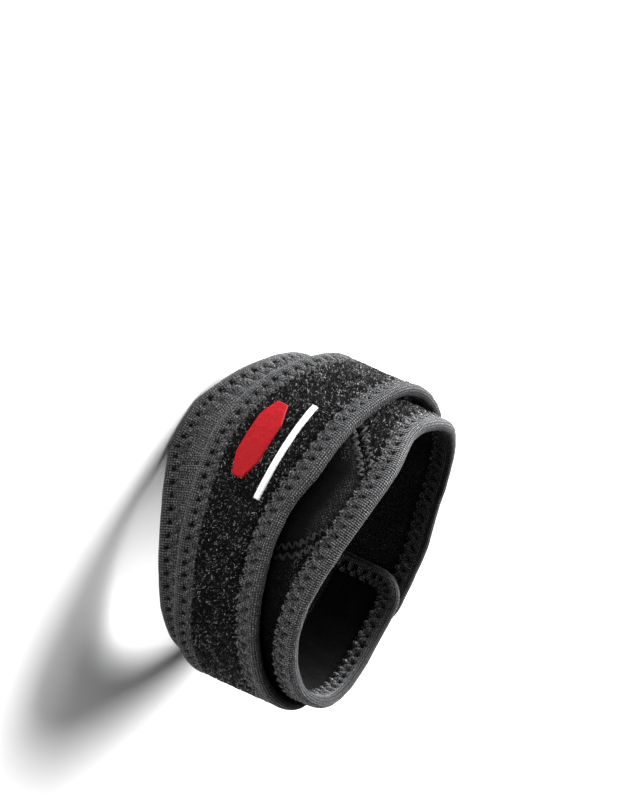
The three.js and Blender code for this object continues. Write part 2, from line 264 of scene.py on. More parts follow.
def makePiece(name, points, faces, material, marks=None, node=None):
    mesh = bpy.data.meshes.new(name)
    faces = np.asarray(faces, np.int32)
    count, corners = faces.shape
    mesh.vertices.add(len(points))
    mesh.vertices.foreach_set("co", np.asarray(points, np.float32).ravel())
    mesh.loops.add(count * corners)
    mesh.loops.foreach_set("vertex_index", faces.ravel())
    mesh.polygons.add(count)
    mesh.polygons.foreach_set("loop_start", np.arange(0, count * corners, corners, dtype=np.int32))
    mesh.polygons.foreach_set("loop_total", np.full(count, corners, np.int32))
    mesh.update(calc_edges=True)
    mesh.polygons.foreach_set("use_smooth", np.ones(count, bool))
    for mark, values in (marks or {}).items():
        values = np.asarray(values, np.float32)
        kind, field = ("FLOAT_VECTOR", "vector") if values.ndim == 2 else ("FLOAT", "value")
        mesh.attributes.new(mark, kind, "POINT").data.foreach_set(field, values.ravel())
    mesh.materials.append(material)
    piece = bpy.data.objects.new(name, mesh)
    bpy.context.scene.collection.objects.link(piece)
    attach(piece, "root")
    if node:
        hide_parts(node)
    print("made", name, count * (corners - 2), "triangles")
    return piece


def placeMarks(x, w, **more):  # the place on the cloth, which the materials read, and other marks
    return {"clothPlace": np.stack([x, w, 0 * x], -1).reshape(-1, 3), **more}


def gridFaces(rows, columns, roundRows=False, roundColumns=False):
    i = np.arange(rows if roundRows else rows - 1)[:, None]
    j = np.arange(columns if roundColumns else columns - 1)[None, :]
    nextRow, nextColumn = (i + 1) % rows, (j + 1) % columns
    corners = [(i, j), (nextRow, j), (nextRow, nextColumn), (i, nextColumn)]
    return np.stack([row * columns + column for row, column in corners], -1).reshape(-1, 4)


def repeated(faces, size, copies):  # the faces of many like copies, each of that many points
    return (faces[None] + np.arange(copies)[:, None, None] * size).reshape(-1, faces.shape[1])


def tubes(lines, outward, radius, sides):
    # lines: copies x points x 3, outward: a direction off the cloth for each point, radius may vary
    tangent = np.gradient(lines, axis=1)
    tangent /= np.linalg.norm(tangent, axis=2, keepdims=True)
    side = np.cross(tangent, outward)
    side /= np.linalg.norm(side, axis=2, keepdims=True)
    up = np.cross(side, tangent)
    angle = np.arange(sides) * 2 * math.pi / sides
    ring = np.cos(angle)[:, None] * side[:, :, None] + np.sin(angle)[:, None] * up[:, :, None]
    radius = np.broadcast_to(radius, lines.shape[:2])[:, :, None, None]
    points = lines[:, :, None] + ring * radius
    copies, count = lines.shape[:2]
    faces = repeated(gridFaces(count, sides, roundColumns=True), count * sides, copies)
    return points.reshape(-1, 3), faces


def outwardAt(ribbon, turn, w, t):  # the direction straight off the cloth
    probe = 0.5
    step = place(ribbon, turn, w, t + probe) - place(ribbon, turn, w, t)
    size = np.linalg.norm(step, axis=-1, keepdims=True)
    return step / np.maximum(size, 1e-9)


strandShades = 30  # how far apart the strands' places in the grain may lie, so that no two look alike


def threadMarks(lines, sides, seed):  # length along the thread, place round it, and a shade for each strand
    copies = len(lines)
    steps = np.linalg.norm(np.diff(lines, axis=1), axis=2) * 1000
    walked = np.concatenate([np.zeros((copies, 1)), np.cumsum(steps, 1)], 1)[:, :, None]
    around = np.arange(sides)[None, None] / sides
    shade = np.random.default_rng(seed).random((copies, 1, 1)) * strandShades
    parts = np.broadcast_arrays(walked + shade, around, shade)
    return {"clothPlace": np.stack(parts, -1).reshape(-1, 3)}


# Materials

def wire(tree, node, wired):  # joins sockets to the node's inputs and sets the plain values there
    for key, value in wired.items():
        if isinstance(value, bpy.types.NodeSocket):
            tree.links.new(value, node.inputs[key])
        else:
            node.inputs[key].default_value = value
    return node


def nodeIn(tree, kind, wired=None, **settings):
    node = tree.nodes.new(kind)
    for key, value in settings.items():
        setattr(node, key, value)
    return wire(tree, node, wired or {})


def calc(tree, operation, *values):
    return nodeIn(tree, "ShaderNodeMath", dict(enumerate(values)), operation=operation).outputs[0]


def mixColors(tree, share, first, second):
    return nodeIn(tree, "ShaderNodeMix", {0: share, 6: first, 7: second}, data_type="RGBA").outputs[2]


def spread(tree, value, fromLow, fromHigh, toLow=0.0, toHigh=1.0):
    wired = {"Value": value, "From Min": fromLow, "From Max": fromHigh, "To Min": toLow, "To Max": toHigh}
    return nodeIn(tree, "ShaderNodeMapRange", wired).outputs[0]


def newGroup(name, inputs, outputs):  # each group starts from a place on the cloth
    tree = bpy.data.node_groups.new(name, "ShaderNodeTree")
    tree.interface.new_socket("Place", in_out="INPUT", socket_type="NodeSocketVector")
    for label, value in inputs.items():
        kind = "NodeSocketColor" if isinstance(value, tuple) else "NodeSocketFloat"
        tree.interface.new_socket(label, in_out="INPUT", socket_type=kind).default_value = value
    for label, kind in outputs.items():
        tree.interface.new_socket(label, in_out="OUTPUT", socket_type="NodeSocket" + kind)
    return tree, tree.nodes.new("NodeGroupInput").outputs, tree.nodes.new("NodeGroupOutput")


def useGroup(tree, group, where, look, **sockets):
    return nodeIn(tree, "ShaderNodeGroup", {"Place": where, **look, **sockets}, node_tree=group)


def makeFlecks():  # small lit fibres over a darker ground, with a height for the bump
    fullCover, softEdge, cellDepth = 0.72, 0.16, 0.6
    tree, given, out = newGroup(
        "clothFlecks",
        {"Ground": (0.02, 0.02, 0.02, 1), "Fleck": (0.1, 0.1, 0.1, 1), "Size": 0.6, "Coverage": 0.3},
        {"Color": "Color", "Height": "Float", "Mask": "Float"},
    )
    grain = {"Vector": given["Place"], "Scale": calc(tree, "DIVIDE", 1.0, given["Size"])}
    fine = nodeIn(tree, "ShaderNodeTexNoise", {**grain, "Detail": 2.5, "Roughness": 0.6, "Distortion": 0.6})
    cells = nodeIn(tree, "ShaderNodeTexVoronoi", {**grain, "Randomness": 1.0}, feature="SMOOTH_F1")
    low = calc(tree, "SUBTRACT", fullCover, given["Coverage"])
    mask = spread(tree, fine.outputs[0], low, calc(tree, "ADD", low, softEdge))
    cellHeight = calc(tree, "MULTIPLY", cells.outputs[0], cellDepth)
    wire(tree, out, {
        "Color": mixColors(tree, mask, given["Ground"], given["Fleck"]),
        "Height": calc(tree, "SUBTRACT", fine.outputs[0], cellHeight),
        "Mask": mask,
    })
    return tree


def makeHandling():  # large soft patches: lint, dust and rubbed places
    patchEdges, polish = (0.35, 0.7), 0.12
    tree, given, out = newGroup(
        "clothHandling",
        {"Color": (0.1, 0.1, 0.1, 1), "Dust": (0.3, 0.3, 0.3, 1),
         "Patch": 14.0, "Amount": 0.2, "Roughness": 0.8},
        {"Color": "Color", "Roughness": "Float"},
    )
    perMm = calc(tree, "DIVIDE", 1.0, given["Patch"])
    patches = nodeIn(tree, "ShaderNodeTexNoise",
                     {"Vector": given["Place"], "Scale": perMm, "Detail": 4.0, "Roughness": 0.55})
    worn = spread(tree, patches.outputs[0], *patchEdges)
    share = calc(tree, "MULTIPLY", worn, given["Amount"])
    smoother = calc(tree, "MULTIPLY", worn, polish)
    wire(tree, out, {
        "Color": mixColors(tree, share, given["Color"], given["Dust"]),
        "Roughness": calc(tree, "SUBTRACT", given["Roughness"], smoother),
    })
    return tree


def makeYarnRows():  # rows of yarn across one direction of the cloth, broken into stitches along it
    rowShare, stitchShare, valleyEdges, shaken = 0.55, 0.45, (0.15, 0.6), 1.6
    tree, given, out = newGroup(
        "yarnRows",
        {"Row Pitch": 0.6, "Stitch Pitch": 0.7, "Slant": 0.0},
        {"Height": "Float", "Valley": "Float"},
    )
    turned = nodeIn(tree, "ShaderNodeVectorRotate",
                    {"Vector": given["Place"], "Angle": given["Slant"]}, rotation_type="Z_AXIS")
    split = nodeIn(tree, "ShaderNodeSeparateXYZ", {0: turned.outputs[0]})
    wobble = nodeIn(tree, "ShaderNodeTexNoise", {"Vector": given["Place"], "Scale": 0.8, "Detail": 2.0})
    shake = calc(tree, "MULTIPLY", calc(tree, "SUBTRACT", wobble.outputs[0], 0.5), shaken)

    def wave(value, pitch):
        angle = calc(tree, "DIVIDE", calc(tree, "MULTIPLY", value, 2 * math.pi), pitch)
        return calc(tree, "MULTIPLY_ADD", calc(tree, "SINE", calc(tree, "ADD", angle, shake)), 0.5, 0.5)

    rows = wave(split.outputs[1], given["Row Pitch"])
    stitches = wave(split.outputs[0], given["Stitch Pitch"])
    height = calc(tree, "MULTIPLY_ADD", stitches, stitchShare, calc(tree, "MULTIPLY", rows, rowShare))
    # the share of the groove, where the finishes paint shade
    valley = calc(tree, "SUBTRACT", 1.0, spread(tree, height, *valleyEdges))
    wire(tree, out, {"Height": height, "Valley": valley})
    return tree


flecks, handling, yarnRows = makeFlecks(), makeHandling(), makeYarnRows()


def newMaterial(name, sockets):
    material = bpy.data.materials.new(name)
    material.use_nodes = True
    tree = material.node_tree
    shader = wire(tree, tree.nodes["Principled BSDF"], sockets)
    where = nodeIn(tree, "ShaderNodeAttribute", attribute_name="clothPlace").outputs["Vector"]
    return material, tree, shader, where


def finishMaterial(tree, shader, color, rough, height, bump):
    strength, depth = bump  # the depth is in millimetres
    relief = nodeIn(tree, "ShaderNodeBump",
                    {"Height": height, "Strength": strength, "Distance": depth / 1000})
    wire(tree, shader, {"Base Color": color, "Roughness": rough, "Normal": relief.outputs[0]})


def paintedShadeColor(tree, color):  # painted shade: black where the piece's "deep" mark says so
    deep = nodeIn(tree, "ShaderNodeAttribute", attribute_name="deep").outputs["Fac"]
    return mixColors(tree, deep, color, (0.001, 0.001, 0.001, 1))


ribbedYarn = {  # the binding tape: grey elastic yarn
    "shader": {"Specular IOR Level": 0.12, "Sheen Weight": 0.22, "Sheen Roughness": 0.28,
               "Sheen Tint": (0.8, 0.82, 0.85, 1)},
    "rows": {"Row Pitch": 0.86, "Stitch Pitch": 0.84},
    "fuzz": {"Ground": (0.024, 0.0242, 0.0248, 1), "Fleck": (0.3, 0.303, 0.312, 1),
             "Size": 0.35, "Coverage": 0.27},
    "wear": {"Dust": (0.08, 0.08, 0.083, 1), "Patch": 9.0, "Amount": 0.22, "Roughness": 0.72},
    "grooveShade": (0.003, 0.003, 0.0032, 1), "grooveShare": 0.95, "bump": (1.0, 0.26),
}

fineYarn = {  # the knit on the foam: fine nylon, its wales on a slant
    "shader": {"Specular IOR Level": 0.04, "Sheen Weight": 0.005, "Sheen Roughness": 0.4,
               "Sheen Tint": (0.8, 0.82, 0.86, 1)},
    "rows": {"Row Pitch": 0.8, "Stitch Pitch": 0.84, "Slant": 0.75},
    "fuzz": {"Ground": (0.005, 0.0051, 0.0053, 1), "Fleck": (0.085, 0.0863, 0.09, 1),
             "Size": 0.5, "Coverage": 0.24},
    "wear": {"Dust": (0.014, 0.014, 0.0147, 1), "Patch": 16.0, "Amount": 0.3, "Roughness": 0.74},
    "grooveShade": (0.001, 0.001, 0.0011, 1), "grooveShare": 0.97, "bump": (0.8, 0.2),
}


def yarnFinish(name, yarn):  # rows of yarn with lit flecks and worn places, with shade painted into the grooves
    fuzzHeight = 0.3
    material, tree, shader, where = newMaterial(name, yarn["shader"])
    rows = useGroup(tree, yarnRows, where, yarn["rows"])
    fuzz = useGroup(tree, flecks, where, yarn["fuzz"])
    worn = useGroup(tree, handling, where, yarn["wear"], Color=fuzz.outputs["Color"])
    # painted shade: the groove colour mixed in where the yarn rows dip
    valley = calc(tree, "MULTIPLY", rows.outputs["Valley"], yarn["grooveShare"])
    color = paintedShadeColor(tree, mixColors(tree, valley, worn.outputs["Color"], yarn["grooveShade"]))
    height = calc(tree, "MULTIPLY_ADD", fuzz.outputs["Height"], fuzzHeight, rows.outputs["Height"])
    finishMaterial(tree, shader, color, worn.outputs["Roughness"], height, yarn["bump"])
    return material


def pileFinish(name, gloss, fuzz):  # loop pile, and the fibres that stand on it
    material, tree, shader, where = newMaterial(name, {
        "Specular IOR Level": gloss, "Sheen Weight": gloss * 0.05, "Sheen Roughness": 0.35,
        "Sheen Tint": (0.75, 0.77, 0.8, 1)})
    wear = {"Dust": (0.03, 0.03, 0.031, 1), "Patch": 11.0, "Amount": 0.1, "Roughness": 0.62}
    grain = useGroup(tree, flecks, where, fuzz)
    worn = useGroup(tree, handling, where, wear, Color=grain.outputs["Color"])
    # painted shade where the deep mark says so, beside the strap
    color = paintedShadeColor(tree, worn.outputs["Color"])
    finishMaterial(tree, shader, color, worn.outputs["Roughness"], grain.outputs["Height"], (1.0, 0.5))
    return material


def threadFinish():
    material, tree, shader, where = newMaterial("sewingThread", {
        "Specular IOR Level": 0.3, "Sheen Weight": 0.03, "Sheen Roughness": 0.3})
    twist = useGroup(tree, yarnRows, where, {"Row Pitch": 0.5, "Stitch Pitch": 0.45, "Slant": 0.6})
    fuzz = useGroup(tree, flecks, where, {
        "Ground": (0.02, 0.0202, 0.021, 1), "Fleck": (0.17, 0.171, 0.177, 1), "Size": 1.3, "Coverage": 0.24})
    # painted shade in the grooves of the thread's twist
    valley = calc(tree, "MULTIPLY", twist.outputs["Valley"], 0.5)
    color = paintedShadeColor(tree, mixColors(tree, valley, fuzz.outputs["Color"], (0.004, 0.004, 0.0042, 1)))
    rough = spread(tree, fuzz.outputs["Mask"], 0, 1, 0.55, 0.42)
    finishMaterial(tree, shader, color, rough, twist.outputs["Height"], (0.6, 0.08))
    return material


def hookFinish():
    material, tree, shader, where = newMaterial("hookTape", {"Specular IOR Level": 0.5, "Coat Weight": 0.1})
    rows = useGroup(tree, yarnRows, where, {"Row Pitch": 0.9, "Stitch Pitch": 1.4})
    worn = useGroup(tree, handling, where, {
        "Color": (0.022, 0.022, 0.024, 1), "Dust": (0.12, 0.12, 0.12, 1),
        "Patch": 5.0, "Amount": 0.25, "Roughness": 0.5})
    finishMaterial(tree, shader, worn.outputs["Color"], worn.outputs["Roughness"],
                   rows.outputs["Height"], (0.5, 0.1))
    return material


def transferFinish(name, ground, fleck, dust):  # a thin coloured film pressed into the pile
    material, tree, shader, where = newMaterial(name, {"Specular IOR Level": 0.1, "Coat Weight": 0.0})
    fuzz = {"Ground": ground, "Fleck": fleck, "Size": 0.7, "Coverage": 0.3}
    wear = {"Dust": dust, "Patch": 6.0, "Amount": 0.35, "Roughness": 0.58}
    grain = useGroup(tree, flecks, where, fuzz)
    worn = useGroup(tree, handling, where, wear, Color=grain.outputs["Color"])
    finishMaterial(tree, shader, worn.outputs["Color"], worn.outputs["Roughness"],
                   grain.outputs["Height"], (0.6, 0.16))
    return material


tape, knit = yarnFinish("ribbedTape", ribbedYarn), yarnFinish("fineKnit", fineYarn)
thread, hook = threadFinish(), hookFinish()
pileGround = (0.0015, 0.0015, 0.0016, 1)
pile = pileFinish("loopPile", 0.03, {
    "Ground": pileGround, "Fleck": (0.008, 0.0081, 0.0084, 1), "Size": 0.6, "Coverage": 0.22})
fibre = pileFinish("pileFibre", 0.13, {
    "Ground": pileGround, "Fleck": (0.46, 0.465, 0.482, 1), "Size": 3.0, "Coverage": 0.19})
red = transferFinish(
    "redTransfer", ground=(0.3, 0.003, 0.007, 1), fleck=(0.36, 0.005, 0.01, 1), dust=(0.24, 0.003, 0.006, 1))
white = transferFinish(
    "whiteTransfer", ground=(0.82, 0.82, 0.83, 1), fleck=(0.9, 0.9, 0.9, 1), dust=(0.68, 0.68, 0.69, 1))
print("materials made")

# Binding tape, folded over the edge and sewn down with a zigzag

binding = {
    "ribPitch": 0.84, "samplesPerRib": 3, "ribDepth": 0.14, "noseReach": 1.5, "face": 7.4,
    "crown": 0.25, "press": 0.25, "scallop": 0.5, "edgeCurl": 0.3, "puff": 0.5,
    "wideTurns": (142, 166, 262, 285), "wideBy": 9.0,
    "stitchPitch": 4.1, "outerRow": 4.1, "innerRow": 8.1, "rowShake": 0.22, "wander": 0.24,
    "tightness": 0.35, "holeDepth": 1.1, "holeLean": 0.45, "channel": 0.26, "channelWidth": 0.5,
    "threadRadius": 0.14, "strandGap": 0.15, "innerShade": 0.8,
}


def widerFace(turn, w):  # how much farther in the base's tape reaches on its elbow side
    first, full, last, gone = binding["wideTurns"]
    return binding["wideBy"] * smooth(turn, first, full) * (1 - smooth(turn, last, gone)) * (w < 0)


def stitchPhase(outline, s):  # counts zigzags along the edge: whole numbers are at the outer row
    count = round(outline["length"] / binding["stitchPitch"])
    around = s / outline["length"] * 2 * math.pi
    uneven = np.sin(around * 7 + 1) + 0.8 * np.sin(around * 17 + 2) + 0.7 * np.sin(around * 31)
    return s / outline["length"] * count + binding["wander"] * uneven / binding["stitchPitch"], count


def rowsAt(phase):  # how far in the two needle rows lie, a little uneven from stitch to stitch
    shake = binding["rowShake"] * drift(phase, 5.3, 4)
    return binding["outerRow"] + shake, binding["innerRow"] + shake + 0.15 * drift(phase, 3.1, 5)


def sewnRise(phase, v):  # how far the tape's face stands off its flat place, without the ribs, and the shade painted into its holes
    look = binding
    nearest = np.round(phase)
    past = (phase - nearest) * look["stitchPitch"]  # millimetres past the nearest outer hole
    off, betweenHoles = np.abs(past), look["stitchPitch"] / 2
    outerRow, innerRow = rowsAt(phase)
    mood = 1 + look["tightness"] * drift(nearest, 2.7, 11)
    crown = look["crown"] * np.sin(math.pi * np.clip((v - 0.9) / 3.2, 0, 1))
    press = look["press"] * smooth(v, outerRow - 0.8, outerRow + 0.5)
    slant = past - look["holeLean"] * (v - outerRow)
    hole = look["holeDepth"] * mood * bell(slant, 0.62) * bell(v - outerRow - 0.1, 0.9)
    leg = np.abs(off - np.clip((v - outerRow) / (innerRow - outerRow), 0, 1) * betweenHoles)
    sewn = smooth(v, outerRow - 0.3, outerRow + 0.6)
    channel = look["channel"] * bell(leg, look["channelWidth"]) * sewn
    rimPuff = bell(off, 0.8) * bell(v - 6.6, 1.0)
    innerPuff = bell(off - betweenHoles, 0.7) * bell(v - 5.0, 0.9)
    puff = look["puff"] * mood * (rimPuff + innerPuff)
    notWider = 1 - smooth(v, look["face"] + 0.1, look["face"] + 1.2)
    curl = look["edgeCurl"] * np.cos(phase * 2 * math.pi) * smooth(v, 6.0, look["face"]) * notWider
    dip = 0.3 * bell(betweenHoles - off, 0.8) * smooth(v, 6.4, 7.8) * notWider
    rise = crown - press - hole - channel + puff + curl - dip
    # painted shade in the needle holes and along the thread's channels
    deep = np.clip(hole / look["holeDepth"] * 2.4, 0, 1) + 0.12 * bell(leg, 0.45) * sewn
    return rise, np.clip(deep, 0, 1)


def bindingProfile(innerSeen):  # across the folded tape: v inwards, t outwards, and the normal in both
    face, reach, half = binding["face"], binding["noseReach"], cloth["thickness"] / 2
    outer = [face, face - 0.03, face - 0.06, face - 0.09,
             7.0, 6.5, 5.9, 5.3, 4.8, 4.45, 4.1, 3.75, 3.3, 2.6, 1.9]
    inner = [1.9, 3.0, 3.7, 4.1, 4.5, 5.3, 6.2, 6.9, face] if innerSeen else [2.6, 4.6, face]
    outerHem, innerHem = (face - 0.1, 3.25), (face - 0.1, 0.55)  # where the tape ends, under its faces
    angle = np.radians([72, 45, 15, -15, -45, -72])
    flatOuter, flatInner = np.zeros(len(outer)), np.zeros(len(inner))
    v = np.concatenate([[outerHem[0]], outer, reach * (1 - np.cos(angle)), inner, [innerHem[0]]])
    t = np.concatenate([[outerHem[1]], flatOuter + 2 * half, half + half * np.sin(angle), flatInner,
                        [innerHem[1]]])
    normalV = np.concatenate([[0], flatOuter, -np.cos(angle), flatInner, [0]])
    normalT = np.concatenate([[0], flatOuter + 1, np.sin(angle), flatInner - 1, [0]])
    onFace = np.abs(normalT) == 1
    stretch = np.zeros(len(v))
    stretch[:5] = 1, 1, 0.75, 0.5, 0.25
    return v, t, normalV, normalT, onFace, stretch


def makeBinding(name, ribbon, outline, innerSeen, node):
    look = binding
    ribs = round(outline["length"] / look["ribPitch"])
    count = ribs * look["samplesPerRib"]
    s = (np.arange(count) / count * outline["length"])[:, None]
    v, t, normalV, normalT, onFace, stretch = (row[None, :] for row in bindingProfile(innerSeen))
    across = np.concatenate([[0], np.cumsum(np.hypot(np.diff(v[0]), np.diff(t[0])))])[None, :]
    if ribbon is base:
        wider = widerFace(*onOutline(ribbon, outline, s, 0)) * stretch
        v, across = v + wider, across - wider
    phase, _ = stitchPhase(outline, s)
    rise, deep = sewnRise(phase, v)
    rise, deep = np.where(onFace, rise, 0), np.where(onFace, deep, 0)
    ribWave = -np.cos(s * ribs * 2 * math.pi / outline["length"])
    ribShare = np.where(normalV**2 + normalT**2 > 0, 1 - 0.3 * smooth(v, 3.6, 4.8), 0)
    uneven = 0.05 * drift(s + 3 * v, 9.0, 21) + 0.06 * drift(s, 31.0, 22)
    out = rise + (ribWave * look["ribDepth"] + uneven) * ribShare
    scallop = look["scallop"] * np.cos(phase * 2 * math.pi) * smooth(v, 5.8, look["face"])
    turn, w = onOutline(ribbon, outline, s, v + normalV * out + scallop)
    points = place(ribbon, turn, w, t + normalT * out)
    # painted shade on the half of the fold's nose that faces inwards
    innerNoseShade = look["innerShade"] * smooth(-normalT, -0.75, 0.6) * (v < look["noseReach"] + 0.1)
    # painted shade: the needle holes, the grooves between the ribs, and the inner half of the nose
    deep = np.clip(deep + (ribWave < -0.4) * ribShare + innerNoseShade, 0, 1)
    marks = {
        "clothPlace": np.stack(np.broadcast_arrays(s + 0 * v, across, 0 * s + 0 * v), -1).reshape(-1, 3),
        "deep": deep.ravel(),
    }
    faces = gridFaces(count, v.shape[1], roundRows=True)
    piece = makePiece(name, points.reshape(-1, 3), faces[:, ::-1], tape, marks, node)


seamSamples = 6000  # places along an edge at which its stitches are counted


def makeZigzag(name, ribbon, outline, outerFace, strands, sides, count):
    look = binding
    samples = np.linspace(0, outline["length"], seamSamples)
    phases, total = stitchPhase(outline, samples)
    leg = np.arange(2 * total)
    u = np.linspace(0, 1, count)[None, :]
    up = (leg % 2 == 0)[:, None]  # from the outer row in, or back out again
    phase = phases[0] + (leg[:, None] + u) / 2
    s = np.interp(phase, phases, samples)
    outerRow, innerRow = rowsAt(phase)
    share = np.where(up, u, 1 - u)
    v = outerRow + (innerRow - outerRow) * share
    rise, _ = sewnRise(phase, v)
    lifted = smooth(share, 0, 0.16) * (1 - smooth(share, 0.9, 1.0))
    body = rise + look["channel"] * smooth(v, outerRow, outerRow + 0.6) + look["threadRadius"] * 0.6
    sunk = 0.75  # how deep the thread's ends go into the needle holes
    height = np.where(lifted > 0.99, body, body * lifted - sunk * (1 - lifted))
    t = cloth["thickness"] + height if outerFace else -height
    dice = np.random.default_rng(31)
    lines, outs = [], []
    for strand in range(strands):
        offset = (strand - (strands - 1) / 2) * look["strandGap"] * 2
        sway = 0.14 * np.sin(math.pi * u) * dice.uniform(-1, 1, (len(leg), 1))
        loose = offset * np.sin(math.pi * u) ** 0.5 + sway
        turn, w = onOutline(ribbon, outline, s + loose, v)
        lines.append(place(ribbon, turn, w, t))
        outs.append(outwardAt(ribbon, turn, w, t))
    lines, outs = np.concatenate(lines), np.concatenate(outs)
    points, faces = tubes(lines, outs, look["threadRadius"] / 1000, sides)
    makePiece(name, points, faces, thread, threadMarks(lines, sides, 5))


makeBinding("baseTape", base, baseOutline, innerSeen=True, node="base_binding")
makeBinding("strapTape", strap, strapOutline, innerSeen=False, node="strap_binding")
makeZigzag("baseZigzagOuter", base, baseOutline, outerFace=True, strands=2, sides=5, count=8)
makeZigzag("baseZigzagInner", base, baseOutline, outerFace=False, strands=1, sides=5, count=7)
makeZigzag("strapZigzagOuter", strap, strapOutline, outerFace=True, strands=2, sides=5, count=8)
makeZigzag("strapZigzagInner", strap, strapOutline, outerFace=False, strands=1, sides=4, count=6)


def strapOver(turn):  # the strap's layers over a place on the base: its turn in each, and its edges there
    for layer in (0, 360):
        over = turn + layer
        yield over, *edgesAt(strap, over)


# Painted shade on the base's cloth beside the strap, where the pile's loops are also pressed lower; it fades
# out over turns 205 to 232, where light falls on the cloth
strapShadeAndPress = {"fade": (5.0, 10.5), "most": 0.98, "ends": 6, "clear": (205, 232)}


def shadeAndPressBesideStrap(turn, w):  # painted shade and loop press: most right beside the strap's wrist side edge, 0 well clear of it
    total = np.zeros(turn.shape)
    first, last, ends = strap["start"], strap["end"], strapShadeAndPress["ends"]
    for over, low, high in strapOver(turn):
        inside = smooth(over, first, first + ends) * (1 - smooth(over, last - ends, last))
        near = 1 - smooth(w - high, *strapShadeAndPress["fade"])
        total = np.maximum(total, inside * (w > (low + high) / 2) * near)
    return total * strapShadeAndPress["most"] * (1 - smooth(turn, *strapShadeAndPress["clear"]))


# Seams across the base on either side of the bare pad, as w and turn

crossSeams = {
    "upper": [(-40, 233), (0, 233), (18.4, 225.7), (24, 219.6), (29, 213.6), (32, 209.5), (40, 203)],
    "lower": [(-40, 160), (0, 163), (18, 169), (24, 173.5), (28, 179.5), (31, 185), (40, 196)],
    "pitch": 2.7, "rowWidth": 2.3, "rows": (-1.65, 1.65), "clear": 7.4, "valley": 0.45, "valleyWidth": 1.7,
    "sunk": 0.35, "arch": 0.5, "threadRadius": 0.23, "strandGap": 0.22, "sides": 5, "holeReach": 0.95,
    "shade": {"upper": 0.3, "lower": 0.65},
}


def seamTurn(side, w):
    return along(crossSeams[side], 1, w)


def seamValley(turn, w):  # how deep the cloth is drawn in beside the cross seams
    total = 0
    for side in ("upper", "lower"):
        off = (turn - seamTurn(side, w)) * perDegree(base) * 0.75
        total = total + bell(off, crossSeams["valleyWidth"])
    return crossSeams["valley"] * total


def seamPath(side):  # heights w along a seam, how far along it each is, and how many legs it has
    low, high = edgesAt(base, seamTurn(side, np.array([-34.0, 33.0])))
    path = np.linspace(low[0] + crossSeams["clear"], high[1] - crossSeams["clear"], 400)
    steps = np.hypot(np.diff(path), np.diff(seamTurn(side, path)) * perDegree(base))
    walked = np.concatenate([[0], np.cumsum(steps)])
    return path, walked, round(walked[-1] / crossSeams["pitch"] * 2)


def onSeam(side, at, across):  # a turn and w that lie across from the seam, and how the seam leans there
    scale = perDegree(base)
    slope = (seamTurn(side, at + 0.5) - seamTurn(side, at - 0.5)) * scale
    size = np.hypot(1, slope)
    return seamTurn(side, at) + across / size / scale, at - across * slope / size, slope, size


def seamHoles():  # the needle holes of the seams, in millimetres along and w
    look, holes = crossSeams, []
    for side in ("upper", "lower"):
        path, walked, count = seamPath(side)
        for row, rowAt in enumerate(look["rows"]):
            leg = np.arange(count)
            at = np.interp((leg + 0.5 * row) / count * walked[-1], walked, path)
            turn, w, _, _ = onSeam(side, at, rowAt + look["rowWidth"] / 2 * np.where(leg % 2 == 0, 1, -1))
            holes.append(np.column_stack([turn * perDegree(base), w]))
    return np.vstack(holes)


def makeCrossSeams(name, outerFace):
    look, scale, lines, outs, shade = crossSeams, perDegree(base), [], [], []
    dice = np.random.default_rng(61)
    u = np.linspace(0, 1, 8)[None, :]
    for side in ("upper", "lower"):
        path, walked, count = seamPath(side)
        leg = np.arange(count)[:, None]
        for row, rowAt in enumerate(look["rows"]):
            at = np.interp((leg + u + 0.5 * row) / count * walked[-1], walked, path)
            across = rowAt + look["rowWidth"] / 2 * np.where(leg % 2 == 0, 1 - 2 * u, 2 * u - 1)
            across = across + 0.3 * softNoise(at, across, 2.6, 52 + row)
            seamAt, seamW, slope, size = onSeam(side, at, across)
            for strand in (-1, 1):
                sway = dice.uniform(-0.3, 0.3, (count, 1)) * np.sin(math.pi * u)
                loose = strand * look["strandGap"] * np.sin(math.pi * u) ** 0.5 + sway
                turn = seamAt + loose * slope / size / scale
                w = seamW + loose / size
                depth = look["sunk"] + seamValley(turn, w) * 0.6 - look["arch"] * np.sin(math.pi * u) ** 0.6
                t = cloth["pileTop"] - depth if outerFace else depth
                lines.append(place(base, turn, w, t))
                outs.append(outwardAt(base, turn, w, t))
                # painted shade beside the strap; the threads are also darkened by a set share for each seam,
                # the lower seam more
                shade.append(np.maximum(shadeAndPressBesideStrap(turn, w), look["shade"][side]))
    lines, outs = np.concatenate(lines), np.concatenate(outs)
    points, faces = tubes(lines, outs, look["threadRadius"] / 1000, look["sides"])
    marks = threadMarks(lines, look["sides"], 7)
    marks["deep"] = np.repeat(np.concatenate(shade).ravel(), look["sides"])
    makePiece(name, points, faces, thread, marks)


makeCrossSeams("padSeamsOuter", outerFace=True)
makeCrossSeams("padSeamsInner", outerFace=False)

# Needle holes as places, so that cloth beside a seam can be drawn in at each of them


def needlePlaces(ribbon, outline):
    samples = np.linspace(0, outline["length"], seamSamples)
    phases, total = stitchPhase(outline, samples)
    phase = phases[0] + np.arange(total) + 0.5
    _, innerRow = rowsAt(phase)
    turn, w = onOutline(ribbon, outline, np.interp(phase, phases, samples), innerRow)
    return np.column_stack([turn * perDegree(ribbon), w])


def drawnIn(holes, x, w, radius):  # 1 at a needle hole, falling to 0 round it
    flat = np.column_stack([x.ravel(), w.ravel()])
    total = np.zeros(len(flat))
    chunk = 4000  # places at a time, to spare memory
    for first in range(0, len(flat), chunk):
        part = flat[first:first + chunk]
        gap = ((part[:, None] - holes[None]) ** 2).sum(2).min(1)
        total[first:first + chunk] = np.exp(-gap / radius**2)
    return total.reshape(x.shape)


